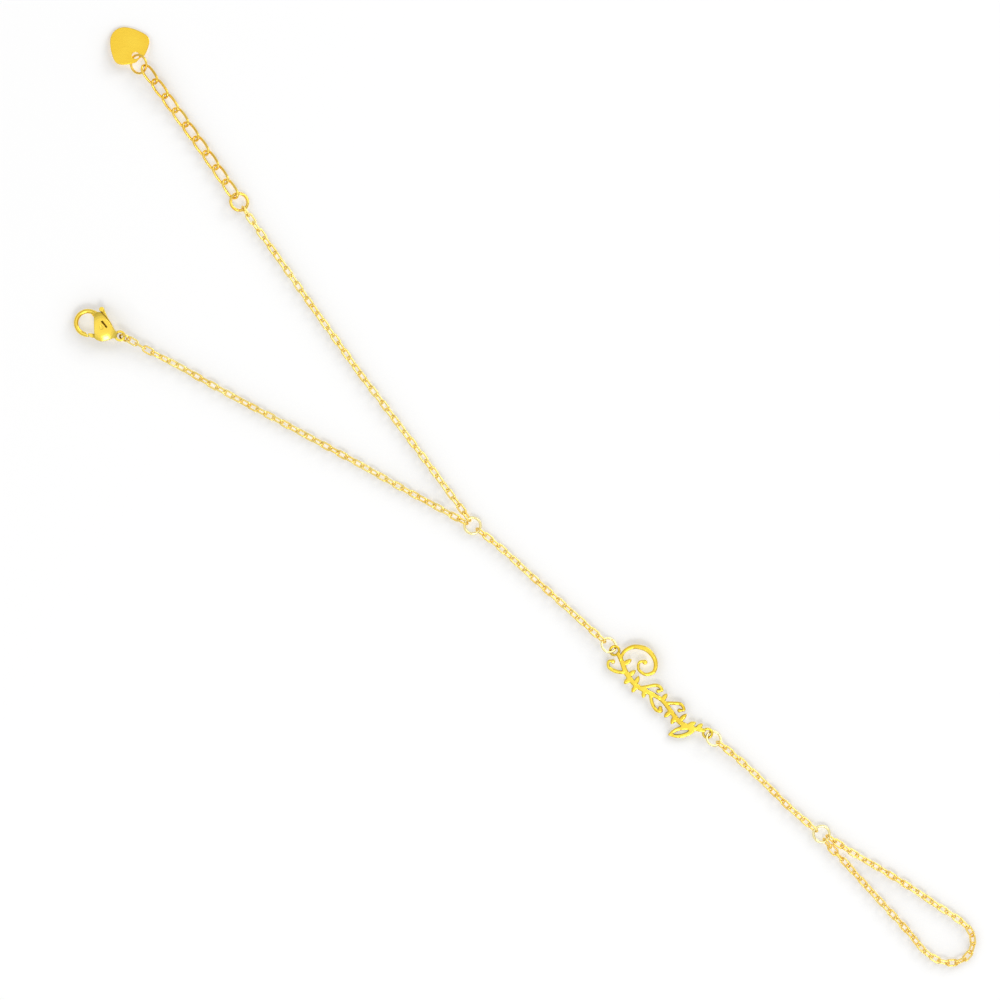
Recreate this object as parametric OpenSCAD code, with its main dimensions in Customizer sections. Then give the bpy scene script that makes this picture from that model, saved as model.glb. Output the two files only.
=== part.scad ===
// A hand chain, laid out flat: two wrist arms of fine cable chain, one with a
// lobster clasp and one with an extender and a heart tag, a pierced plate on a
// chain along the back of the hand, and a loop of chain for a finger.
// X runs along the hand towards the finger loop, Z is up, the floor is z = 0.

/* [Fine chain] */
// Outside length of a fine link
link_l = 2.62; // [2.6:0.01:2.65]
// Outside width of a fine link
link_w = 1.52; // [1.5:0.01:1.54]
// Thickness of the fine wire
link_wire = 0.36; // [0.34:0.01:0.36]

/* [Extender chain] */
// Outside length of an extender link
curb_l = 4.55; // [4.52:0.01:4.6]
// Outside width of an extender link
curb_w = 2.25; // [2.2:0.05:2.35]
// Thickness of the extender's wire
curb_wire = 0.5; // [0.4:0.02:0.5]

/* [Jump rings] */
// Outside diameter of the centre ring and the finger ring
main_ring_d = 3.55; // [3.45:0.05:3.6]
// Wire of the centre ring and the finger ring
main_ring_wire = 0.5; // [0.4:0.02:0.5]
// Outside diameter of the two rings at the plate
plate_ring_d = 3.3; // [3.25:0.05:3.35]
// Wire of the two rings at the plate
plate_ring_wire = 0.45; // [0.4:0.01:0.46]
// Outside diameter of the ring between wrist chain and extender
extender_ring_d = 3.9; // [3.85:0.05:4]
// Wire of the ring between wrist chain and extender
extender_ring_wire = 0.6; // [0.5:0.02:0.6]
// Outside diameter of the heart tag's ring
tag_ring_d = 3.95; // [3.9:0.05:4]
// Wire of the heart tag's ring
tag_ring_wire = 0.46; // [0.4:0.02:0.46]
// Outside diameter of the clasp's ring
clasp_ring_d = 2.4; // [2.3:0.05:2.5]
// Wire of the clasp's ring
clasp_ring_wire = 0.4; // [0.34:0.02:0.42]
// Width of the saw cut in a jump ring
ring_cut = 0.06; // [0.04:0.01:0.15]

/* [Plate] */
// Thickness of the pierced plate
plate_t = 0.8; // [0.6:0.05:0.9]
// Outside diameter of the plate's two eyelets
eyelet_d = 2.12; // [2.1:0.02:2.2]
// Wire of the plate's two eyelets
eyelet_wire = 0.42; // [0.36:0.02:0.44]

/* [Heart tag] */
// Length of the heart from its tip to its lobes
heart_l = 7.35; // [7.25:0.05:7.45]
// Width of the heart over both lobes
heart_w = 7.95; // [7.8:0.05:8.1]
// Thickness of the heart
heart_t = 0.34; // [0.3:0.01:0.35]
// Radius of the heart's hole
heart_hole_r = 0.7; // [0.69:0.01:0.72]

/* [Clasp] */
// Thickness of the clasp over its two cheeks
clasp_t = 2.8; // [2.7:0.05:2.9]
// Thickness of the lever
lever_t = 0.8; // [0.7:0.05:0.85]
// Thickness of the hook
hook_d = 0.85; // [0.8:0.01:0.9]
// Radius of the hinge pin
pin_r = 0.32; // [0.28:0.01:0.34]
// Gap between the hinge pin and the lever's bore
pin_play = 0.04; // [0.02:0.01:0.06]
// Angle by which the lever opens
lever_open = 28; // [15:1:30]

/* [Hidden] */
gold = [0.95, 0.74, 0.22];
pale_gold = [0.98, 0.82, 0.36];

// Everything below is measured from the centre ring; this puts the middle of
// the whole chain at the origin
centre_at = [-6, -3.44];

// Height at which everything that lies on the floor begins
floor_gap = 0.03;
// Length of a cut that runs past everything it goes through
far = 8;
// Room between two links that hang in each other
link_play = 0.15;
// The same in the finger loop, which bends more
loop_play = 0.22;
// Roll of a fine link that hangs on a ring that lies flat
flat_hang_roll = 62;
// Distance from a fine link's middle to the middle of its end bend
link_hook = link_l/2 - link_w/2;
// Half the height of a fine link's middle line, flat to flat
link_r = (link_w - link_wire)/2;

// Ring places and how far each is rolled about the line of the chain
centre_ring_c = [0, 0];
plate_ring_a_c = [34.4, 0.05];
plate_ring_b_c = [61.05, -0.05];
finger_ring_c = [88.4, -0.1];
extender_ring_c = [-73.85, 16.8];
tag_ring_c = [-105.42, 23.78];
plate_ring_roll = -30;
tag_ring_roll = 31;
tag_ring_turn = -28;
extender_ring_roll = -18;
extender_ring_turn = -15;
clasp_ring_roll = 60;
clasp_ring_turn = 20;
// Height of the centre ring and the finger ring, which the links on them hold off the floor
flat_z = link_w/2 + floor_gap;

// Middle-line radius of each ring
main_ring_r = (main_ring_d - main_ring_wire)/2;
plate_ring_r = (plate_ring_d - plate_ring_wire)/2;
extender_ring_r = (extender_ring_d - extender_ring_wire)/2;
tag_ring_r = (tag_ring_d - tag_ring_wire)/2;
clasp_ring_r = (clasp_ring_d - clasp_ring_wire)/2;

// Height of a rolled ring that touches the floor
function rest_z(r, wire, roll) = r*abs(sin(roll)) + wire/2 + floor_gap;
plate_z = rest_z(plate_ring_r, plate_ring_wire, plate_ring_roll);
tag_z = rest_z(tag_ring_r, tag_ring_wire, tag_ring_roll);
extender_ring_z = rest_z(extender_ring_r, extender_ring_wire, extender_ring_roll);

// A point on a ring's wire, at an angle seen from above
function on_ring(c, r, a) = [c.x + r*cos(a), c.y + r*sin(a)];
// The same on a rolled ring, with its height, at an angle from the ring's heading
function on_rolled(c, z, r, roll, heading, a) =
    let (x = r*cos(a), y = r*sin(a)*cos(roll))
    [
        c.x + x*cos(heading) - y*sin(heading), c.y + x*sin(heading) + y*cos(heading),
        z + r*sin(a)*sin(roll)
    ];

// Clasp frame: x towards the eyelet, y towards the lever's knob
clasp_c = [-78.15, -18.25];
clasp_turn = 22;
clasp_z = clasp_t/2 + floor_gap;
function from_clasp(p) = [
    clasp_c.x + p.x*cos(clasp_turn) - p.y*sin(clasp_turn),
    clasp_c.y + p.x*sin(clasp_turn) + p.y*cos(clasp_turn)
];
clasp_eye = [4.3, -0.62];
clasp_eye_hole_r = 0.6;
clasp_eye_r = 1.06;
clasp_eye_t = 0.8;
clasp_ring_c = on_ring(from_clasp(clasp_eye), clasp_ring_r, clasp_ring_turn);

// Angle at which the two wrist arms, and the two legs of the finger loop, leave
// their ring on either side of the line of the hand
split = 18.5;

// Where the first extender link hangs on the tag ring
tag_ring_hang_angle = 40;
tag_ring_hang = on_rolled(
    tag_ring_c, tag_z, tag_ring_r, tag_ring_roll, tag_ring_turn, tag_ring_hang_angle
);

// Routes, from ring wire to ring wire, seen from above
long_route = [
    on_ring(centre_ring_c, main_ring_r, 180 - split), [-3.3, 0.9], [-8, 1.9], [-14, 3.2],
    [-20, 4.45], [-28, 6.1], [-35, 7.5], [-42, 9.15], [-50, 11], [-58, 12.95], [-66, 14.85],
    on_ring(extender_ring_c, extender_ring_r, extender_ring_turn)
];
short_route = [
    on_ring(centre_ring_c, main_ring_r, 180 + split), [-3.3, -0.9], [-8, -1.95], [-16, -3.8],
    [-24, -5.5], [-32, -7.35], [-40, -9.2], [-48, -11.15], [-56, -12.95], [-62, -14.2],
    [-67.5, -15.6],
    on_ring(clasp_ring_c, clasp_ring_r, clasp_ring_turn)
];
upper_route = [
    on_ring(centre_ring_c, main_ring_r, 4), [5, 0.3], [9, 0.35], [15, 0.2], [26, 0.1],
    on_ring(plate_ring_a_c, plate_ring_r, 180)
];
lower_route = [
    on_ring(plate_ring_b_c, plate_ring_r, 0), [67, 0.15], [74, 0], [80.3, -0.35],
    on_ring(finger_ring_c, main_ring_r, 187)
];
loop_route = [
    on_ring(finger_ring_c, main_ring_r, split), [91.8, 0.62], [96.1, 1.3], [102.6, 2.55],
    [108.5, 3.55], [114, 4.25], [117.3, 4.75], [120.3, 4.95], [122.5, 4.4], [124, 2.8],
    [124.5, 0.7], [123.8, -1.3], [122.2, -2.8], [120.2, -3.6], [117.2, -3.8],
    [113.6, -3.2], [106.3, -2.4], [99.3, -1.65], [95, -1.15], [91.8, -0.92],
    on_ring(finger_ring_c, main_ring_r, -split)
];
extender_route = [
    [tag_ring_hang.x, tag_ring_hang.y], [-96.8, 22.4], [-86.1, 19.95],
    on_ring(extender_ring_c, extender_ring_r, extender_ring_turn + 180)
];

// Smooth curve through a list of points
function spline(a, b, c, d, t) =
    0.5*(2*b + (c - a)*t + (2*a - 5*b + 4*c - d)*t*t + (3*b - a - 3*c + d)*t*t*t);
function smooth(pts, steps) = [
    for (i = [0 : len(pts) - 2]) for (k = [0 : steps - 1])
        spline(pts[max(i - 1, 0)], pts[i], pts[i + 1], pts[min(i + 2, len(pts) - 1)], k/steps),
    pts[len(pts) - 1]
];
// Length of a line up to each of its points
function runs(line) = [
    for (i = 0, s = 0; i < len(line);
         s = s + (i + 1 < len(line) ? norm(line[i + 1] - line[i]) : 0), i = i + 1) s
];
function along(line, run, axis, s) = lookup(s, [for (i = [0 : len(line) - 1]) [run[i], line[i][axis]]]);

// Roll and height of a fine chain at distance s of total, where the first and
// the last link are held at a given roll and height: the roll eases off over
// the length ease and then swings, one turn each way in a length of wave, and
// the height is held for hold and eases off over lift
ease = 8;
hold = 1.8;
lift = 9;
swing = 14;
wave = 27;
function fade(s, reach) = min(1, max(0, 1 - s/reach));
function wrapped(a) = let (m = ((a % 180) + 180) % 180) m > 135 ? m - 180 : m;
function lie(s, total, first, last) =
    let (a = fade(s, ease), b = fade(total - s, ease))
    45 + (first - 45)*a + (last - 45)*b + swing*sin(360*s/wave + total)*(1 - a)*(1 - b);
function rest_height(roll) = link_r*max(abs(sin(roll)), abs(cos(roll))) + link_wire/2 + floor_gap;
function soft(a) = a*a*(3 - 2*a);
function height(s, total, first, last, z_first, z_last) =
    let (
        z = rest_height(lie(s, total, first, last)),
        a = soft(fade(s - hold, lift)),
        b = soft(fade(total - s - hold, lift))
    )
    z + (z_first - z)*a + (z_last - z)*b;

// Moves a piece from the centre ring's frame to the frame of the whole
module placed() { translate([centre_at.x, centre_at.y, 0]) children(); }

// Part of a ring of round wire, lying flat
module bend(r, wire, turn) {
    rotate_extrude(angle = turn, $fn = 48) translate([r, 0]) circle(d = wire, $fn = 24);
}

// One fine link: two half rings and two straight sides
module fine_link() {
    straight = 2*link_hook;
    translate([link_hook, 0, 0]) rotate([0, 0, -90]) bend(link_r, link_wire, 180);
    translate([-link_hook, 0, 0]) rotate([0, 0, 90]) bend(link_r, link_wire, 180);
    for (side = [-link_r, link_r])
        translate([-link_hook, side, 0]) rotate([0, 90, 0])
            cylinder(d = link_wire, h = straight, $fn = 24);
}

// A run of fine links along a route; rolls are those of the first and last link
module fine_chain(
    route, first_roll = flat_hang_roll, last_roll = flat_hang_roll,
    z_first = flat_z, z_last = flat_z, play = link_play
) {
    line = smooth(route, 10);
    run = runs(line);
    total = run[len(run) - 1];
    gaps = ceil((total - 2*link_hook)/(link_l - 2*link_wire - play));
    step = (total - 2*link_hook)/gaps;
    last = wrapped(last_roll - 90*gaps);
    for (i = [0 : gaps]) {
        s = link_hook + i*step;
        ends = [for (e = [max(s - step/2, 0), min(s + step/2, total)]) [
            along(line, run, 0, e), along(line, run, 1, e),
            height(e, total, first_roll, last, z_first, z_last)
        ]];
        way = ends[1] - ends[0];
        translate([
            along(line, run, 0, s), along(line, run, 1, s),
            height(s, total, first_roll, last, z_first, z_last)
        ])
            rotate([
                lie(s, total, first_roll, last) + 90*i,
                -atan2(way.z, norm([way.x, way.y])),
                atan2(way.y, way.x)
            ])
                fine_link();
    }
}

// Extender links, and the middle line of one: an oval, twisted a quarter turn
curb_count = 9;
curb_twist = 45;
curb_sides = 6;
curb_bend_steps = 6;
curb_r = (curb_w - curb_wire)/2;
curb_half = curb_l/2 - curb_w/2;
function twisted(p) =
    let (a = curb_twist*p.x/(curb_half + curb_r)) [p.x, p.y*cos(a), p.y*sin(a)];
curb_oval = [
    for (end = [0, 1]) for (k = [-curb_bend_steps/2 : curb_bend_steps/2])
        let (a = 180*end + 180*k/curb_bend_steps)
        [(end == 0 ? curb_half : -curb_half) + curb_r*cos(a), curb_r*sin(a)],
];
curb_line = [
    for (i = [0 : len(curb_oval) - 1])
        let (next = curb_oval[(i + 1) % len(curb_oval)])
        each (norm(next - curb_oval[i]) > curb_half
            ? [twisted(curb_oval[i]), twisted((curb_oval[i] + next)/2)]
            : [twisted(curb_oval[i])])
];
curb_z = max([for (p = curb_line) abs(p.z)]) + curb_wire/2 + floor_gap;

// A closed tube of round wire along a closed line
module closed_tube(line, wire, sides) {
    n = len(line);
    points = [
        for (i = [0 : n - 1])
            let (
                way = line[(i + 1) % n] - line[(i + n - 1) % n],
                t = way/norm(way),
                out = line[i] - (line[i]*t)*t,
                u = out/norm(out),
                v = cross(t, u)
            )
            for (k = [0 : sides - 1])
                line[i] + wire/2*(u*cos(360*k/sides) + v*sin(360*k/sides))
    ];
    faces = [
        for (i = [0 : n - 1]) for (k = [0 : sides - 1])
            let (
                a = i*sides + k,
                b = i*sides + (k + 1) % sides,
                c = ((i + 1) % n)*sides + (k + 1) % sides,
                d = ((i + 1) % n)*sides + k
            )
            each [[a, c, b], [a, d, c]]
    ];
    polyhedron(points = points, faces = faces);
}

// A jump ring, closed but for its saw cut
module jump_ring(r, wire, cut_at) {
    cut = ring_cut/r*180/PI;
    rotate([0, 0, cut_at + cut/2]) bend(r, wire, 360 - cut);
}

// Puts a ring at its place, rolled about the line of the chain
module ring_at(c, z, roll, heading = 0) {
    translate([c.x, c.y, z]) rotate([roll, 0, heading]) children();
}

module centre_ring() {
    placed() color(pale_gold) ring_at(centre_ring_c, flat_z, 0)
        jump_ring(main_ring_r, main_ring_wire, cut_at = 75);
}

module finger_ring() {
    placed() color(pale_gold) ring_at(finger_ring_c, flat_z, 0)
        jump_ring(main_ring_r, main_ring_wire, cut_at = 260);
}

module extender_ring() {
    placed() color(gold)
    ring_at(extender_ring_c, extender_ring_z, extender_ring_roll, extender_ring_turn)
        jump_ring(extender_ring_r, extender_ring_wire, cut_at = -33);
}

module tag_ring() {
    placed() color(gold) ring_at(tag_ring_c, tag_z, tag_ring_roll, tag_ring_turn)
        jump_ring(tag_ring_r, tag_ring_wire, cut_at = 60);
}

module clasp_ring() {
    placed() color(gold) ring_at(clasp_ring_c, clasp_z, clasp_ring_roll, clasp_ring_turn)
        jump_ring(clasp_ring_r, clasp_ring_wire, cut_at = 90);
}

module plate_ring_upper() {
    placed() color(pale_gold) ring_at(plate_ring_a_c, plate_z, plate_ring_roll)
        jump_ring(plate_ring_r, plate_ring_wire, cut_at = 100);
}

module plate_ring_lower() {
    placed() color(pale_gold) ring_at(plate_ring_b_c, plate_z, plate_ring_roll)
        jump_ring(plate_ring_r, plate_ring_wire, cut_at = 80);
}

module wrist_chain_long() {
    placed() color(gold)
        fine_chain(long_route, last_roll = -90 - extender_ring_roll, z_last = extender_ring_z);
}

module wrist_chain_short() {
    placed() color(gold) fine_chain(short_route, last_roll = 90 - clasp_ring_roll, z_last = clasp_z);
}

module hand_chain_upper() {
    placed() color(gold) fine_chain(upper_route, last_roll = plate_ring_roll + 90, z_last = plate_z);
}

module hand_chain_lower() {
    placed() color(gold) fine_chain(lower_route, first_roll = plate_ring_roll + 90, z_first = plate_z);
}

module finger_loop_chain() {
    placed() color(gold) fine_chain(loop_route, last_roll = 180 - flat_hang_roll, play = loop_play);
}

// The extender: all links alike, held at both ends with the same room
module extender_chain() {
    line = smooth(extender_route, 10);
    run = runs(line);
    total = run[len(run) - 1];
    end_room = curb_l/2 - curb_wire - extender_ring_wire/2 - link_play;
    step = (total - 2*end_room)/(curb_count - 1);
    placed() color(pale_gold) for (i = [0 : curb_count - 1]) {
        s = end_room + i*step;
        spots = [for (e = [max(s - step/2, 0), s, min(s + step/2, total)]) [
            along(line, run, 0, e), along(line, run, 1, e),
            curb_z + (tag_ring_hang.z - curb_z)*soft(fade(e - hold, 2*curb_l))
                + (extender_ring_z - curb_z)*soft(fade(total - e - hold, 2*curb_l))
        ]];
        way = spots[2] - spots[0];
        translate(spots[1])
            rotate([0, -atan2(way.z, norm([way.x, way.y])), atan2(way.y, way.x)])
                closed_tube(curb_line, curb_wire, curb_sides);
    }
}

// Joins flat shapes to one outline with its corners just broken
broken = 0.04;
module outline() { offset(r = broken, $fn = 8) offset(delta = -broken) children(); }

// Flat shape around two circles, with straight sides that touch both
module tapered(a, ra, b, rb, sides = 48) {
    way = atan2(b.y - a.y, b.x - a.x);
    lean = acos((ra - rb)/norm(b - a));
    translate(a) circle(ra, $fn = sides);
    translate(b) circle(rb, $fn = sides);
    polygon([for (end = [[a, ra, 1], [b, rb, 1], [b, rb, -1], [a, ra, -1]])
        end[0] + end[1]*[cos(way + end[2]*lean), sin(way + end[2]*lean)]]);
}

// Heart: x runs from the tip at 0 to the lobes, the hole hangs on the tag ring;
// its half outline is a list of [x, half width], as parts of length and width
heart_half = [
    [0, 0], [0.02, 0.11], [0.1, 0.23], [0.25, 0.345], [0.42, 0.43], [0.57, 0.485], [0.69, 0.495],
    [0.8, 0.44], [0.9, 0.32], [0.97, 0.2], [1, 0.11], [0.985, 0.045], [0.98, 0]
];
heart_hole_x = 0.85*heart_l;
heart_hole_y = -0.2;
// Offsets of the hole from the middle of the ring's wire, outwards and sideways
heart_pull = -0.01;
heart_shift = 0.04;
heart_roll = -9.5;
heart_pitch = 6;
heart_turn = -8;
heart_hole_c = on_ring(tag_ring_c, tag_ring_r, tag_ring_turn + 180);
module heart_tag() {
    line = smooth([for (p = heart_half) [p.x*heart_l, p.y*heart_w]], 4);
    placed() color(gold) translate([heart_hole_c.x, heart_hole_c.y, tag_z])
        rotate([heart_roll, -heart_pitch, heart_turn])
            translate([-heart_hole_x - heart_pull, heart_shift - heart_hole_y, -heart_t/2])
            difference() {
                linear_extrude(heart_t) polygon([
                    each line, for (i = [len(line) - 2 : -1 : 1]) [line[i].x, -line[i].y]
                ]);
                translate([heart_hole_x, heart_hole_y, -far/2])
                    cylinder(r = heart_hole_r, h = far, $fn = 48);
            }
}

// Plate: x runs from the first eyelet's middle to the second's; each stroke is
// a list of [x, y, width]
eyelet_r = (eyelet_d - eyelet_wire)/2;
eyelet_pull = 0.1;
eyelet_a_c = plate_ring_a_c + [plate_ring_r + eyelet_pull, 0];
eyelet_b_c = plate_ring_b_c - [plate_ring_r + eyelet_pull, 0];
plate_span = norm(eyelet_b_c - eyelet_a_c);
plate_roll = 6;
stem = [
    [eyelet_r, 0, 0.6], [2.2, -0.55, 0.75], [4.6, -1.75, 0.85], [7.4, -2.25, 0.8],
    [10.2, -1.6, 0.75], [12.9, -1.05, 0.7], [15.6, -1.5, 0.75], [18.2, -1.95, 0.8],
    [20.6, -1.25, 0.75], [plate_span - eyelet_r, -0.05, 0.6]
];
scrolls = [
    [[1.9, -0.4, 0.5], [1.45, 1.2, 0.55], [2.3, 3.1, 0.7], [4.5, 4.25, 0.8], [6.9, 3.8, 0.7],
        [8.2, 2.1, 0.6], [7.4, 0.55, 0.5], [5.8, 0.35, 0.45], [4.95, 1.45, 0.4], [5.6, 2.3, 0.35]],
    [[4.4, -1.65, 0.5], [2.9, -2.75, 0.6], [1.3, -3.1, 0.5], [0.5, -2.3, 0.4], [1.1, -1.7, 0.35]],
    [[8.2, -2.2, 0.5], [9.3, -0.8, 0.5], [10.4, 0.45, 0.5], [11.7, 0.45, 0.42], [11.3, -0.2, 0.35]],
    [[10.4, -1.5, 0.5], [11.9, -2.7, 0.55], [13.4, -3.2, 0.5], [14.3, -2.7, 0.4], [13.65, -2.35, 0.35]],
    [[13.7, -1.15, 0.5], [14.9, -0.1, 0.5], [16.1, 0.75, 0.5], [17.3, 0.4, 0.42], [16.7, -0.3, 0.35]]
];
// Round buds in the scrolls as [x, y, radius]
buds = [
    [5.75, 2.2, 0.42], [1.15, -1.75, 0.38], [11.25, -0.25, 0.34], [13.7, -2.4, 0.34],
    [16.7, -0.35, 0.34]
];
// Leaves on the stem as [x, y, direction, length], and the pierced one at the end
leaves = [
    [3, -0.95, 75, 1.9], [5.1, -1.9, 78, 1.8], [7.2, -2.25, 108, 1.8], [13, -1.1, 95, 1.6],
    [18, -1.9, 84, 2], [19.7, -1.6, 62, 1.9], [21.4, -0.85, 78, 1.6], [5.7, -2, 262, 1.5],
    [7.5, -2.25, 278, 1.5], [9.3, -1.9, 300, 1.4], [15.6, -1.5, 264, 1.7], [16.9, -1.75, 284, 1.6]
];
leaf_w = 0.8;
end_leaf = [21.5, -0.7, 234, 5.6];
end_leaf_w = 2.1;
vein = [20.7, -1.8, 234, 3.5];
vein_w = 0.8;
stroke_steps = 4;
corner_r = 0.12;

// A pointed leaf that starts at a point and runs in a direction
module leaf_shape(spec, width) {
    r = (pow(spec[3]/2, 2) + pow(width/2, 2))/width;
    translate([spec.x, spec.y]) rotate(spec.z) intersection() {
        translate([spec[3]/2, width/2 - r]) circle(r, $fn = 64);
        translate([spec[3]/2, r - width/2]) circle(r, $fn = 64);
    }
}

module stroke(points) {
    line = smooth(points, stroke_steps);
    for (i = [0 : len(line) - 1]) translate([line[i].x, line[i].y]) circle(line[i].z/2, $fn = 12);
    for (i = [0 : len(line) - 2]) {
        a = line[i];
        b = line[i + 1];
        way = [b.x - a.x, b.y - a.y];
        side = [-way.y, way.x]/norm(way)/2;
        polygon([
            [a.x, a.y] + side*a.z, [b.x, b.y] + side*b.z,
            [b.x, b.y] - side*b.z, [a.x, a.y] - side*a.z
        ]);
    }
}

module nameplate() {
    turn = atan2(eyelet_b_c.y - eyelet_a_c.y, eyelet_b_c.x - eyelet_a_c.x);
    placed() color(pale_gold)
    translate([eyelet_a_c.x, eyelet_a_c.y, plate_z]) rotate([plate_roll, 0, turn]) {
        translate([0, 0, -plate_t/2]) linear_extrude(plate_t)
            offset(r = -corner_r, $fn = 8) offset(delta = corner_r) {
                stroke(stem);
                for (points = scrolls) stroke(points);
                for (bud = buds) translate([bud.x, bud.y]) circle(bud.z, $fn = 16);
                for (leaf = leaves) leaf_shape(leaf, leaf_w);
                difference() {
                    leaf_shape(end_leaf, end_leaf_w);
                    leaf_shape(vein, vein_w);
                }
            }
        for (x = [0, plate_span]) translate([x, 0, 0]) bend(eyelet_r, eyelet_wire, 360);
    }
}

// Clasp, in its own frame: a hook, a body of two cheeks, and a lever between
// them. The hook is part of a ring, and grows thicker where it meets the body
hook_c = [-2.27, -0.32];
hook_r = 2.24;
hook_start = 85;
hook_end = 302;
hook_root = [-0.95, 1.5];
hook_root_r = 0.75;
hook_root_lip = 0.03;
hook_sunk = 5;
// The cheeks: four rounds joined by straight sides, with a slanted front
belly = [0.8, -1];
belly_r = 1.85;
brow = [-0.75, 1.5];
brow_r = 0.85;
shoulder = [0.95, 0.6];
shoulder_r = 0.85;
neck = [3.1, -0.75];
neck_r = 0.65;
neck_l = 1.4;
front_top = [-1.62, 1.5];
front_foot = [-0.05, -2.6];
// The two balls whose common part gives the cheeks their crown
crown_r = 6.5;
crown_c = [0.5, -0.2];
// The lever: a hub, a back that stands out beyond the cheeks and ends in a knob
// to press, and a foot with a nose that meets the hook
pivot = [0.55, -0.35];
hub_r = 0.62;
knob_c = [-0.62, 2.98];
knob_r = 0.45;
knob_t = 1.4;
back_top_r = 0.4;
back_bend = [0.55, 1.75];
back_bend_r = 0.36;
back_end = [2.1, 0.62];
back_end_r = 0.25;
foot = [-0.1, -2.2];
foot_r = 0.38;
nose = [-1.2, -2.42];
nose_r = 0.36;
// The slanted face where hook and nose meet, and the gap between them
mouth_c = [-1.62, -2.42];
mouth_turn = 60;
mouth_gap = 0.11;
mouth_w = 2.4;
mouth_depth = 1.6;
// The lever's slot: its room at the sides and all round, its distance from the
// hook's face, and the turn between the places of the lever that together shape it
slot_side_room = 0.1;
slot_t = lever_t + 2*slot_side_room;
slot_room = 0.14;
slot_lip = 0.02;
slot_step = 4;
// The slit in the upper cheek, and the pin with its fit in the cheeks
window_c = [0.86, 0.45];
window_turn = -32;
window_l = 1.25;
window_r = 0.18;
window_taper = 0.01;
pin_fit = 0.01;
pin_short = 0.02;

module in_clasp() {
    translate([clasp_c.x, clasp_c.y, clasp_z]) rotate([0, 0, clasp_turn]) children();
}

// The lever's outline without its knob
module lever_outline(sides) {
    tapered(pivot, hub_r, foot, foot_r, sides);
    tapered(foot, foot_r, nose, nose_r, sides);
    tapered(knob_c, back_top_r, back_bend, back_bend_r, sides);
    tapered(back_bend, back_bend_r, back_end, back_end_r, sides);
    tapered(pivot, hub_r, back_end, back_end_r, sides);
    polygon([pivot, knob_c, back_bend, back_end]);
}

// A block between two distances from the slanted face where hook and lever meet
module mouth_block(low, high) {
    translate(mouth_c) rotate([0, 0, mouth_turn]) translate([low, -mouth_w/2, -clasp_t/2])
        cube([high - low, mouth_w, clasp_t]);
}

// What the lever passes through on its way, which ends where the hook begins
module lever_slot() {
    difference() {
        translate([0, 0, -slot_t/2]) linear_extrude(slot_t)
            offset(r = slot_room, $fn = 16) for (turn = [0 : slot_step : lever_open])
                translate(pivot) rotate(-turn) translate(-pivot) lever_outline(16);
        mouth_block(-mouth_depth, slot_lip);
    }
}

// The two cheeks and the neck, crowned above and below
module cheeks() {
    intersection() {
        translate([0, 0, -clasp_t]) linear_extrude(2*clasp_t) outline() difference() {
            union() {
                tapered(belly, belly_r, brow, brow_r);
                tapered(brow, brow_r, shoulder, shoulder_r);
                tapered(shoulder, shoulder_r, neck, neck_r);
                tapered(belly, belly_r, neck, neck_r);
                polygon([belly, brow, shoulder, neck]);
                translate(neck) square([neck_l, 2*neck_r], center = true);
            }
            polygon([
                front_top + 2*(front_top - front_foot), front_top - [far, 0],
                front_foot - [far, far], front_foot + (front_foot - front_top)
            ]);
        }
        translate([crown_c.x, crown_c.y, clasp_t/2 - crown_r]) sphere(crown_r, $fn = 96);
        translate([crown_c.x, crown_c.y, crown_r - clasp_t/2]) sphere(crown_r, $fn = 96);
    }
}

// The hook, cut where the nose meets it, and the thicker root that joins it to the cheeks
module hook() {
    start = on_ring(hook_c, hook_r, hook_start);
    root_way = hook_root - start;
    difference() {
        translate(hook_c) rotate([0, 0, hook_start - hook_sunk])
            bend(hook_r, hook_d, hook_end - hook_start + hook_sunk);
        mouth_block(0, mouth_depth);
    }
    translate(start) rotate([0, 90, atan2(root_way.y, root_way.x)])
        cylinder(r1 = hook_d/2 + hook_root_lip, r2 = hook_root_r, h = norm(root_way), $fn = 48);
}

module clasp_body() {
    placed() color(gold) in_clasp() difference() {
        union() {
            cheeks();
            hook();
            translate([clasp_eye.x, clasp_eye.y, -clasp_eye_t/2])
                cylinder(r = clasp_eye_r, h = clasp_eye_t, $fn = 48);
        }
        lever_slot();
        translate([clasp_eye.x, clasp_eye.y, -far/2]) cylinder(r = clasp_eye_hole_r, h = far, $fn = 48);
        translate([pivot.x, pivot.y, -far/2]) cylinder(r = pin_r + pin_fit, h = far, $fn = 48);
        translate(window_c) rotate([0, 0, window_turn]) linear_extrude(far)
            tapered([-window_l/2, 0], window_r + window_taper, [window_l/2, 0], window_r);
    }
}

module clasp_lever() {
    placed() color(pale_gold) in_clasp() difference() {
        union() {
            translate([0, 0, -lever_t/2]) linear_extrude(lever_t) outline() lever_outline(48);
            translate([knob_c.x, knob_c.y, -knob_t/2]) cylinder(r = knob_r, h = knob_t, $fn = 48);
        }
        mouth_block(-mouth_depth, mouth_gap);
        translate([pivot.x, pivot.y, -far/2]) cylinder(r = pin_r + pin_play, h = far, $fn = 48);
    }
}

module clasp_pin() {
    placed() color(pale_gold) in_clasp() translate([pivot.x, pivot.y, pin_short - clasp_t/2])
        cylinder(r = pin_r, h = clasp_t - 2*pin_short, $fn = 48);
}

heart_tag();
tag_ring();
extender_chain();
extender_ring();
wrist_chain_long();
centre_ring();
wrist_chain_short();
clasp_ring();
clasp_body();
clasp_lever();
clasp_pin();
hand_chain_upper();
plate_ring_upper();
nameplate();
plate_ring_lower();
hand_chain_lower();
finger_ring();
finger_loop_chain();
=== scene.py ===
"""Looks of a hand chain with two wrist arms, a pierced scroll plate and a finger
loop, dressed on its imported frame. Lengths are in metres unless named _mm."""

import math
import random

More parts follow.
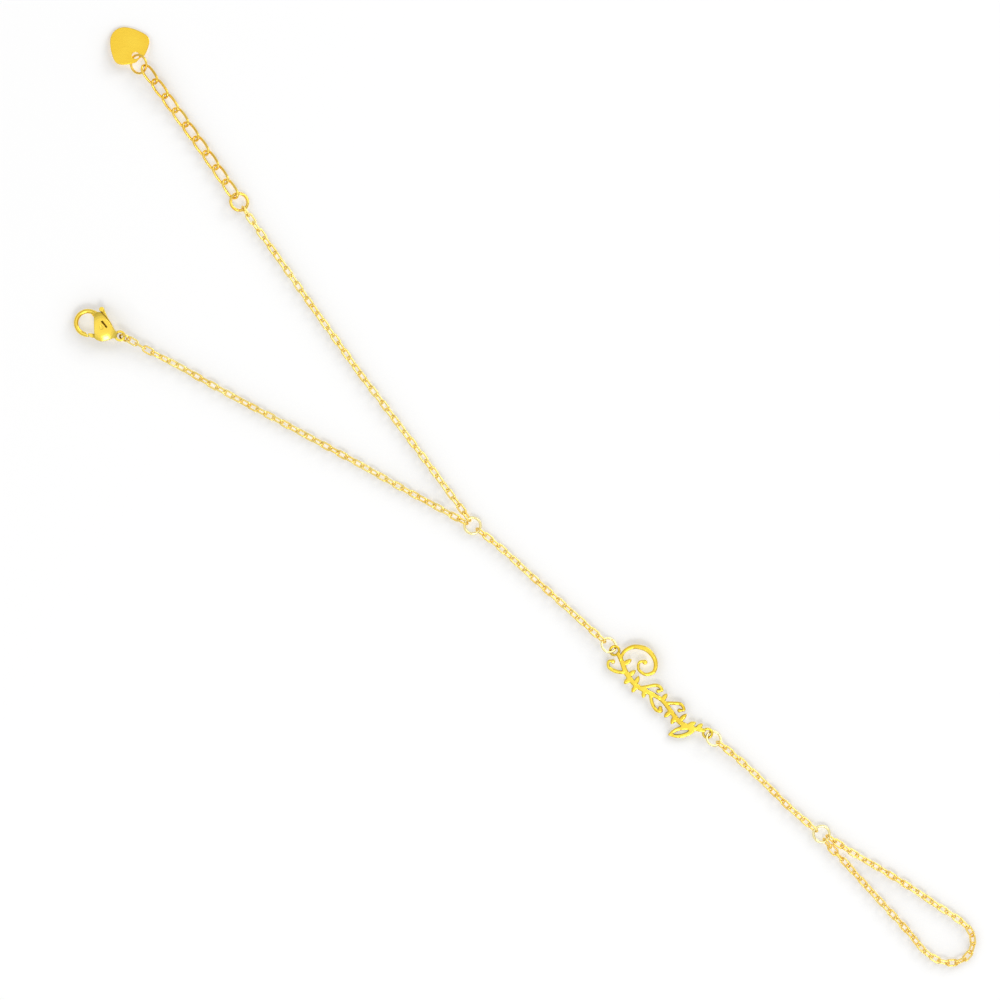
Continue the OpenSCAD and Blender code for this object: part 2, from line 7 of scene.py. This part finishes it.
import bmesh
import bpy
import numpy as np
from mathutils import Euler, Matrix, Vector


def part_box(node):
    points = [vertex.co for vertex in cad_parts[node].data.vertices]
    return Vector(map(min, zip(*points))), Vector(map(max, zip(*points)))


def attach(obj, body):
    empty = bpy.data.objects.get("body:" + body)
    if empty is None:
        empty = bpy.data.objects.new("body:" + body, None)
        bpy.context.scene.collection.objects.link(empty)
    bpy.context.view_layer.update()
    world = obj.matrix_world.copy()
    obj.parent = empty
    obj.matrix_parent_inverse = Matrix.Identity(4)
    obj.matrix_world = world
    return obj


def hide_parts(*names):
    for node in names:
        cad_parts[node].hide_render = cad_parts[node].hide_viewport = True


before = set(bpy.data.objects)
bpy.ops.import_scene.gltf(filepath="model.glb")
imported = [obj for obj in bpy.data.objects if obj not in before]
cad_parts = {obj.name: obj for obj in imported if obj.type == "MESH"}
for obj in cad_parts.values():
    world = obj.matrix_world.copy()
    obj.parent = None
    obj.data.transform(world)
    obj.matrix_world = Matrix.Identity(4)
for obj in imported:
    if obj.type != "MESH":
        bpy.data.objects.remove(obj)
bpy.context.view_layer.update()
MM = 0.001
BODY = "chain"
LEVER = "lever"
SEED = 7
chance = random.Random(SEED)

# Sizes of the wire work, as in the part
LINK_L = 2.62 * MM
LINK_W = 1.52 * MM
LINK_WIRE = 0.36 * MM
CURB_L = 4.55 * MM
CURB_W = 2.25 * MM
CURB_WIRE = 0.5 * MM
CURB_TWIST = math.radians(45)
RING_CUT = 0.06 * MM

# Jump rings as node: outside diameter and wire in mm, then in degrees the roll, the
# heading and the angle of the saw cut
RINGS = {
    "centre_ring": (3.55, 0.5, 0, 0, 75),
    "finger_ring": (3.55, 0.5, 0, 0, 260),
    "plate_ring_upper": (3.3, 0.45, -30, 0, 100),
    "plate_ring_lower": (3.3, 0.45, -30, 0, 80),
    "extender_ring": (3.9, 0.6, -18, -15, -33),
    "tag_ring": (3.95, 0.46, 31, -28, 60),
    "clasp_ring": (2.4, 0.4, 60, 20, 90),
}
PALE_RINGS = ("centre_ring", "finger_ring", "plate_ring_upper", "plate_ring_lower")
WRIST_CHAINS = ("wrist_chain_long", "wrist_chain_short")
HAND_CHAINS = ("hand_chain_upper", "hand_chain_lower", "finger_loop_chain")

# How the heart, the plate and the clasp are turned, in degrees about X, Y and Z
HEART_TURN = (-9.5, -6, -8)
PLATE_TURN = (6, 0, -0.24)
CLASP_TURN = (0, 0, 22)

# How finely the wires are made: faces round the wire, steps round a bend or along a side
FINE_SIDES = 12
FINE_BEND_STEPS = 12
CURB_SIDES = 16
CURB_BEND_STEPS = 16
CURB_SIDE_STEPS = 8
RING_SIDES = 20
RING_STEPS = 72

# Places along the side of a fine link, as a share of half its length, and how many
# times as thick the wire is where it is soldered
SIDE_SPOTS = (-0.75, -0.2, -0.08, 0, 0.08, 0.2, 0.75)
SOLDER = {-0.08: 1.05, 0: 1.03, 0.08: 1.05}

# Share of its thickness that a ring's wire has from its sawn end on, and the step
# between these places as a share of the wire's radius
EASE = (0.80, 0.93, 0.985)
EASE_STEP = 0.12

# Points of a CAD mesh that are nearer than this are one
WELD_REACH = 1e-7


# Materials

# Spots over which a metal's colour drifts and the part of their noise that it uses,
# spots of its cloudy polish, strength of its wear
DRIFT_MM = 6
DRIFT_RANGE = (0.35, 0.65)
CLOUD_MM = 0.9
WEAR_STRENGTH = 0.6


def node_of(tree, kind, **values):
    """A shader node with some of its own settings and sockets filled in."""
    node = tree.nodes.new(kind)
    for key, value in values.items():
        if hasattr(node, key):
            setattr(node, key, value)
        else:
            node.inputs[key.replace("_", " ")].default_value = value
    return node


def ramp_of(tree, stops):
    """A colour ramp made from pairs of position and colour."""
    ramp = node_of(tree, "ShaderNodeValToRGB")
    elements = ramp.color_ramp.elements
    while len(elements) < len(stops):
        elements.new(0.5)
    for element, (spot, colour) in zip(elements, stops):
        element.position = spot
        element.color = (*colour, 1)
    return ramp


def metal(name, deep, bright, painted_shade, shade_reach_mm, shade_range, rough,
          wave_mm=(1.5, 0.03), wear_mm=(0.25, 0.005)):
    """Polished plated metal. Its colour drifts from deep to bright, and painted shade darkens
    it towards a given dark colour in its nooks, joints and slits, where other surfaces are
    close; the painted shade has a reach and a range of openness over which it fades. Its
    cloudy polish has the least and the most roughness. The waves from polishing by hand and
    the fine wear each have a length and a depth."""
    material = bpy.data.materials.new(name)
    material.use_nodes = True
    tree = material.node_tree
    link = tree.links.new
    shader = tree.nodes["Principled BSDF"]
    shader.inputs["Metallic"].default_value = 1.0
    place = node_of(tree, "ShaderNodeTexCoord").outputs["Object"]

    def noise(size_mm, detail):
        """Noise with spots of a given size."""
        made = node_of(tree, "ShaderNodeTexNoise", Scale=1 / (size_mm * MM), Detail=detail)
        link(place, made.inputs["Vector"])
        return made.outputs["Fac"]

    tint = ramp_of(tree, [(DRIFT_RANGE[0], deep), (DRIFT_RANGE[1], bright)])
    link(noise(DRIFT_MM, 2.0), tint.inputs["Fac"])
    # Painted shade: an ambient occlusion mask turns the colour to a dark colour where other
    # surfaces are close
    shade_ao = node_of(tree, "ShaderNodeAmbientOcclusion", samples=8, Distance=shade_reach_mm * MM)
    openness = node_of(
        tree, "ShaderNodeMapRange", From_Min=shade_range[0], From_Max=shade_range[1]
    )
    link(shade_ao.outputs["AO"], openness.inputs["Value"])
    blend = node_of(tree, "ShaderNodeMix", data_type="RGBA")
    blend.inputs["A"].default_value = (*painted_shade, 1)
    link(openness.outputs["Result"], blend.inputs["Factor"])
    link(tint.outputs["Color"], blend.inputs["B"])
    link(blend.outputs["Result"], shader.inputs["Base Color"])

    polish = node_of(tree, "ShaderNodeMapRange", To_Min=rough[0], To_Max=rough[1])
    link(noise(CLOUD_MM, 4.0), polish.inputs["Value"])
    link(polish.outputs["Result"], shader.inputs["Roughness"])

    wear = node_of(
        tree, "ShaderNodeBump", Distance=wear_mm[1] * MM, Strength=WEAR_STRENGTH
    )
    link(noise(wear_mm[0], 3.0), wear.inputs["Height"])
    wave = node_of(tree, "ShaderNodeBump", Distance=wave_mm[1] * MM, Strength=1.0)
    link(noise(wave_mm[0], 1.0), wave.inputs["Height"])
    link(wear.outputs["Normal"], wave.inputs["Normal"])
    link(wave.outputs["Normal"], shader.inputs["Normal"])
    return material


# Each metal's dark colour is painted shade for its nooks: the dark joint spots of the chains,
# the clasp's slit and lever line, and the edges of the plate's strokes
GOLD = metal(
    "gold",
    deep=(0.97, 0.72, 0.18),
    bright=(1.0, 0.82, 0.28),
    painted_shade=(0.92, 0.65, 0.08),
    shade_reach_mm=0.35,
    shade_range=(0.2, 0.8),
    rough=(0.16, 0.28),
)
HAND_GOLD = metal(
    "hand_gold",
    deep=(0.97, 0.69, 0.16),
    bright=(1.0, 0.79, 0.26),
    painted_shade=(0.9, 0.62, 0.07),
    shade_reach_mm=0.35,
    shade_range=(0.2, 0.8),
    rough=(0.16, 0.28),
)
RING_GOLD = metal(
    "ring_gold",
    deep=(1.0, 0.84, 0.38),
    bright=(1.0, 0.9, 0.46),
    painted_shade=(0.93, 0.73, 0.22),
    shade_reach_mm=0.4,
    shade_range=(0.1, 0.7),
    rough=(0.18, 0.28),
)
EXTENDER_GOLD = metal(
    "extender_gold",
    deep=(0.95, 0.62, 0.09),
    bright=(1.0, 0.72, 0.15),
    painted_shade=(0.72, 0.45, 0.035),
    shade_reach_mm=0.55,
    shade_range=(0.2, 0.75),
    rough=(0.16, 0.26),
)
PLATE_GOLD = metal(
    "plate_gold",
    deep=(0.88, 0.61, 0.06),
    bright=(1.0, 0.79, 0.1),
    painted_shade=(0.2, 0.1, 0.004),
    shade_reach_mm=0.8,
    shade_range=(0.42, 0.94),
    rough=(0.12, 0.24),
    wave_mm=(1.5, 0.2),
    wear_mm=(0.2, 0.004),
)
CLASP_GOLD = metal(
    "clasp_gold",
    deep=(0.95, 0.67, 0.085),
    bright=(1.0, 0.76, 0.12),
    painted_shade=(0.16, 0.08, 0.003),
    shade_reach_mm=1.3,
    shade_range=(0.28, 0.88),
    rough=(0.16, 0.23),
    wave_mm=(2.5, 0.04),
    wear_mm=(0.3, 0.003),
)
LEVER_GOLD = metal(
    "lever_gold",
    deep=(0.95, 0.68, 0.08),
    bright=(1.0, 0.77, 0.12),
    painted_shade=(0.2, 0.1, 0.004),
    shade_reach_mm=0.8,
    shade_range=(0.55, 0.9),
    rough=(0.16, 0.24),
    wave_mm=(2.5, 0.04),
    wear_mm=(0.3, 0.003),
)
SATIN_GOLD = metal(
    "satin_gold",
    deep=(0.93, 0.6, 0.05),
    bright=(0.98, 0.68, 0.07),
    painted_shade=(0.6, 0.36, 0.02),
    shade_reach_mm=0.4,
    shade_range=(0.1, 0.7),
    rough=(0.22, 0.32),
    wave_mm=(0.5, 0.02),
    wear_mm=(0.12, 0.008),
)


# Shapes

def add_to_scene(name, data):
    """An object of the given mesh, light or camera, put into the scene."""
    thing = bpy.data.objects.new(name, data)
    bpy.context.scene.collection.objects.link(thing)
    return thing


def piece(name, points, faces, material, smooth=True):
    """A mesh object of the given points and faces."""
    mesh = bpy.data.meshes.new(name)
    mesh.from_pydata([tuple(point) for point in points], [], faces)
    mesh.polygons.foreach_set("use_smooth", [smooth] * len(mesh.polygons))
    mesh.materials.append(material)
    return add_to_scene(name, mesh)


def dress(thing, node, body=BODY):
    """Lets a piece stand for its CAD node and move with its body."""
    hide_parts(node)
    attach(thing, body)


def swept(line, outs, radii, sides, closed):
    """Points and faces of a round wire along a line, with a radius at each point. The
    first point round the wire lies towards outs."""
    count = len(line)
    points = []
    for i in range(count):
        ahead = line[(i + 1) % count] if closed or i + 1 < count else line[i]
        behind = line[i - 1] if closed or i > 0 else line[i]
        way = ahead - behind
        way = way / np.linalg.norm(way)
        out = outs[i] - np.dot(outs[i], way) * way
        out = out / np.linalg.norm(out)
        side = np.cross(way, out)
        for k in range(sides):
            angle = 2 * math.pi * k / sides
            away = out * math.cos(angle) + side * math.sin(angle)
            points.append(line[i] + radii[i] * away)
    faces = []
    for i in range(count if closed else count - 1):
        here = i * sides
        there = ((i + 1) % count) * sides
        for k in range(sides):
            after = (k + 1) % sides
            faces.append((here + k, here + after, there + after, there + k))
    if not closed:
        faces.append(tuple(reversed(range(sides))))
        faces.append(tuple(range((count - 1) * sides, count * sides)))
    return np.array(points), faces


def upward(line):
    """The direction Z for each point of a line."""
    return np.tile((0.0, 0.0, 1.0), (len(line), 1))


def bend_angles(end, steps):
    """Angles of the half ring at one end of a link, 1 or -1 along X."""
    turn = 0 if end == 1 else math.pi
    return [math.radians(-90 + 180 * k / steps) + turn for k in range(steps + 1)]


def fine_link():
    """A fine link: two half rings, two straight sides, one with a soldered joint."""
    half = LINK_L / 2 - LINK_W / 2
    radius = (LINK_W - LINK_WIRE) / 2
    line = []
    swell = []
    for end in (1, -1):
        for angle in bend_angles(end, FINE_BEND_STEPS):
            line.append((end * half + radius * math.cos(angle), radius * math.sin(angle), 0))
            swell.append(1.0)
        for spot in SIDE_SPOTS:
            line.append((-end * spot * half, end * radius, 0))
            swell.append(SOLDER.get(spot, 1.0) if end == 1 else 1.0)
    line = np.array(line)
    radii = LINK_WIRE / 2 * np.array(swell)
    return swept(line, upward(line), radii, FINE_SIDES, closed=True)


def curb_link():
    """An extender link: an oval of round wire, twisted a quarter turn end to end."""
    half = CURB_L / 2 - CURB_W / 2
    radius = (CURB_W - CURB_WIRE) / 2
    flat = []
    for end in (1, -1):
        for angle in bend_angles(end, CURB_BEND_STEPS):
            flat.append((end * half + radius * math.cos(angle), radius * math.sin(angle)))
        for k in range(1, CURB_SIDE_STEPS):
            flat.append((end * half * (1 - 2 * k / CURB_SIDE_STEPS), end * radius))
    line = []
    for x, y in flat:
        twist = CURB_TWIST * x / (half + radius)
        line.append((x, y * math.cos(twist), y * math.sin(twist)))
    line = np.array(line)
    radii = np.full(len(line), CURB_WIRE / 2)
    return swept(line, line, radii, CURB_SIDES, closed=True)


def ring_of(node):
    """A jump ring with the ends of its wire eased at the saw cut."""
    across, wire, roll, heading, cut_at = RINGS[node]
    radius = (across - wire) / 2 * MM
    wire_radius = wire / 2 * MM
    ease_angle = EASE_STEP * wire_radius / radius
    cut = RING_CUT / radius
    start = math.radians(cut_at) + cut / 2
    end = start + 2 * math.pi - cut
    first = start + ease_angle * len(EASE)
    last = end - ease_angle * len(EASE)
    angles = [start + ease_angle * k for k in range(len(EASE))]
    angles += [first + (last - first) * k / RING_STEPS for k in range(RING_STEPS + 1)]
    angles += [end - ease_angle * k for k in reversed(range(len(EASE)))]
    shares = [*EASE, *[1.0] * (RING_STEPS + 1), *reversed(EASE)]
    line = np.array([(radius * math.cos(a), radius * math.sin(a), 0) for a in angles])
    radii = wire_radius * np.array(shares)
    points, faces = swept(line, upward(line), radii, RING_SIDES, closed=False)
    turn = np.array(Euler((math.radians(roll), 0, math.radians(heading))).to_matrix())
    low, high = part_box(node)
    return points @ turn.T + np.array((low + high) / 2), faces


def islands(node):
    """The separate solids of a CAD node, each as an array of triangles. Its faces are
    the keys of a dict, which keeps them in the same order in each run."""
    work = bmesh.new()
    work.from_mesh(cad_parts[node].data)
    bmesh.ops.remove_doubles(work, verts=work.verts, dist=WELD_REACH)
    bmesh.ops.triangulate(work, faces=work.faces)
    work.verts.index_update()
    seen = set()
    found = []
    for start in work.verts:
        if start.index in seen:
            continue
        seen.add(start.index)
        stack = [start]
        faces = {}
        while stack:
            vert = stack.pop()
            for face in vert.link_faces:
                faces[face] = True
                for other in face.verts:
                    if other.index not in seen:
                        seen.add(other.index)
                        stack.append(other)
        found.append(np.array([[vert.co[:] for vert in face.verts] for face in faces]))
    work.free()
    return found


def placing(triangles):
    """Middle and axes of a solid, longest first, from the spread of its skin."""
    edge_a = triangles[:, 1] - triangles[:, 0]
    edge_b = triangles[:, 2] - triangles[:, 0]
    areas = np.linalg.norm(np.cross(edge_a, edge_b), axis=1) / 2
    middles = triangles.mean(axis=1)
    centre = (middles * areas[:, None]).sum(axis=0) / areas.sum()
    away = triangles - centre
    spread = np.zeros((3, 3))
    for arm in (away[:, 0], away[:, 1], away[:, 2], away.sum(axis=1)):
        spread += np.einsum("n,ni,nj->ij", areas / 12, arm, arm)
    axes = np.linalg.eigh(spread)[1]
    x = axes[:, 2]
    y = axes[:, 1]
    return centre, np.column_stack([x, y, np.cross(x, y)])


def chain_of(node, link):
    """All links of a chain as one mesh, each where its CAD solid lies, and about half
    of them turned end to end."""
    link_points, link_faces = link
    points = []
    faces = []
    for solid in islands(node):
        centre, axes = placing(solid)
        if chance.random() < 0.5:
            axes = axes @ np.diag((-1.0, -1.0, 1.0))
        shift = len(points) * len(link_points)
        points.append(link_points @ axes.T + centre)
        faces += [tuple(v + shift for v in face) for face in link_faces]
    return np.concatenate(points), faces


def softened(node, name, turn, material, voxel_mm, rounds, puff_mm, keep):
    """A copy of a CAD node's shape with its edges polished round, made with the part
    turned back level: rounds of smoothing, a puff outwards, a share of faces to keep."""
    turned = Euler([math.radians(angle) for angle in turn]).to_matrix().to_4x4()
    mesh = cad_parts[node].data.copy()
    mesh.name = name
    mesh.transform(turned.inverted())
    mesh.materials.clear()
    mesh.materials.append(material)
    thing = add_to_scene(name, mesh)
    weld = thing.modifiers.new("weld", "WELD")
    weld.merge_threshold = WELD_REACH
    remesh = thing.modifiers.new("remesh", "REMESH")
    remesh.mode = "VOXEL"
    remesh.voxel_size = voxel_mm * MM
    smooth = thing.modifiers.new("smooth", "SMOOTH")
    smooth.factor = 0.5
    smooth.iterations = rounds
    puff = thing.modifiers.new("puff", "DISPLACE")
    puff.mid_level = 0
    puff.strength = puff_mm * MM
    thin = thing.modifiers.new("thin", "DECIMATE")
    thin.ratio = keep
    graph = bpy.context.evaluated_depsgraph_get()
    made = bpy.data.meshes.new_from_object(thing.evaluated_get(graph))
    thing.modifiers.clear()
    thing.data = made
    made.name = name
    made.transform(turned)
    made.polygons.foreach_set("use_smooth", [True] * len(made.polygons))
    return thing


# The pieces

for node in WRIST_CHAINS + HAND_CHAINS:
    points, faces = chain_of(node, fine_link())
    links = piece(node + "_links", points, faces, GOLD if node in WRIST_CHAINS else HAND_GOLD)
    dress(links, node)

points, faces = chain_of("extender_chain", curb_link())
dress(piece("extender_links", points, faces, EXTENDER_GOLD), "extender_chain")

for node in RINGS:
    points, faces = ring_of(node)
    pale = node in PALE_RINGS
    wire = piece(node + "_wire", points, faces, RING_GOLD if pale else EXTENDER_GOLD)
    dress(wire, node)

heart = softened(
    "heart_tag", "heart_plate", HEART_TURN, SATIN_GOLD,
    voxel_mm=0.06, rounds=4, puff_mm=0, keep=0.4,
)
dress(heart, "heart_tag")
plate = softened(
    "nameplate", "scroll_plate", PLATE_TURN, PLATE_GOLD,
    voxel_mm=0.055, rounds=40, puff_mm=0.07, keep=0.4,
)
dress(plate, "nameplate")
cheeks = softened(
    "clasp_body", "clasp_shell", CLASP_TURN, CLASP_GOLD,
    voxel_mm=0.045, rounds=5, puff_mm=0.015, keep=0.4,
)
dress(cheeks, "clasp_body")
lever = softened(
    "clasp_lever", "clasp_press", CLASP_TURN, LEVER_GOLD,
    voxel_mm=0.035, rounds=4, puff_mm=0.02, keep=0.45,
)
dress(lever, "clasp_lever", LEVER)
pin_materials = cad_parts["clasp_pin"].data.materials
pin_materials.clear()
pin_materials.append(CLASP_GOLD)


# Floor, light and camera

# The floor's white, and its glow by how open it is within a reach: the glow dips near the
# part as a painted shadow and rises, warm, in the openings of the links as painted light from
# the gold
FLOOR_WHITE = 0.72
PAINTED_SHADOW_REACH_MM = 6
FLOOR_GLOW_AND_PAINTED_SHADOW = (
    (0.4, (0.46, 0.44, 0.38)),
    (0.7, (0.17, 0.17, 0.17)),
    (0.8, (0.15, 0.15, 0.15)),
    (1.0, (0.285, 0.285, 0.285)),
)
FLOOR_HALF = 3.0


def glowing_floor_with_painted_shadow(name, level, glow_and_painted_shadow, painted_shadow_reach_mm):
    """Matt white that also glows, by how open it is: the glow dips near the part as a painted
    shadow, and is warmer and brighter in the openings of its links as painted light from the
    gold."""
    material = bpy.data.materials.new(name)
    material.use_nodes = True
    tree = material.node_tree
    link = tree.links.new
    shader = tree.nodes["Principled BSDF"]
    shader.inputs["Base Color"].default_value = (level, level, level, 1)
    shader.inputs["Roughness"].default_value = 0.9
    shader.inputs["Specular IOR Level"].default_value = 0.0
    shader.inputs["Emission Strength"].default_value = 1.0
    # Painted shadow and painted light: ambient occlusion sets the glow, dimmer near the part
    # and warm in the link openings
    painted_shadow_ao = node_of(tree, "ShaderNodeAmbientOcclusion", samples=16, Distance=painted_shadow_reach_mm * MM)
    ramp = ramp_of(tree, glow_and_painted_shadow)
    link(painted_shadow_ao.outputs["AO"], ramp.inputs["Fac"])
    link(ramp.outputs["Color"], shader.inputs["Emission Color"])
    return material


floor = piece(
    "floor",
    [(x * FLOOR_HALF, y * FLOOR_HALF, 0) for x, y in ((-1, -1), (1, -1), (1, 1), (-1, 1))],
    [(0, 1, 2, 3)],
    glowing_floor_with_painted_shadow("glowing_floor_with_painted_shadow", FLOOR_WHITE, FLOOR_GLOW_AND_PAINTED_SHADOW, PAINTED_SHADOW_REACH_MM),
    smooth=False,
)

# The photograph looks straight down, with the hand's line running down to the right
PHOTO_WIDTH = 190 * MM
PHOTO_TURN = math.radians(41.4)
PHOTO_MIDDLE = Vector((-5.3 * MM, 3.66 * MM, 0))
LENS_MM = 150
SENSOR_MM = 36
camera_data = bpy.data.cameras.new("camera")
camera_data.lens = LENS_MM
camera_data.sensor_width = SENSOR_MM
camera = add_to_scene("camera", camera_data)
camera.location = PHOTO_MIDDLE + Vector((0, 0, PHOTO_WIDTH * LENS_MM / SENSOR_MM))
camera.rotation_euler = (0, 0, PHOTO_TURN)
bpy.context.scene.camera = camera


def softbox(name, heading, tilt, distance, size, glow):
    """An area light of a given brightness, aimed at the middle of the part. Its heading
    is counted from the photograph's right and its tilt from overhead, in degrees."""
    data = bpy.data.lights.new(name, "AREA")
    data.shape = "RECTANGLE"
    data.size = size[0]
    data.size_y = size[1]
    data.energy = glow * math.pi * size[0] * size[1]
    light = add_to_scene(name, data)
    turn = PHOTO_TURN + math.radians(heading)
    lean = math.radians(tilt)
    way = Vector((
        math.sin(lean) * math.cos(turn),
        math.sin(lean) * math.sin(turn),
        math.cos(lean),
    ))
    light.location = way * distance
    light.rotation_euler = way.to_track_quat("Z", "Y").to_euler()


softbox("key", heading=-80, tilt=36, distance=1.1, size=(0.36, 0.28), glow=8.0)
softbox("side", heading=45, tilt=62, distance=1.2, size=(0.6, 0.4), glow=4.0)

# Brightness of the studio by height, from 0 at the horizon and below to 1 overhead
SKY = ((0.0, 0.95), (0.14, 0.85), (0.4, 0.4), (0.68, 0.6), (0.88, 1.05))


def sky():
    """Soft studio surroundings: pale overhead and at the horizon, dimmer between."""
    world = bpy.data.worlds.new("studio")
    bpy.context.scene.world = world
    world.use_nodes = True
    tree = world.node_tree
    link = tree.links.new
    direction = node_of(tree, "ShaderNodeTexCoord").outputs["Generated"]
    split = node_of(tree, "ShaderNodeSeparateXYZ")
    link(direction, split.inputs["Vector"])
    ramp = ramp_of(tree, [(height, (level, level, level)) for height, level in SKY])
    link(split.outputs["Z"], ramp.inputs["Fac"])
    link(ramp.outputs["Color"], tree.nodes["Background"].inputs["Color"])


sky()
bpy.context.scene.view_settings.view_transform = "Standard"
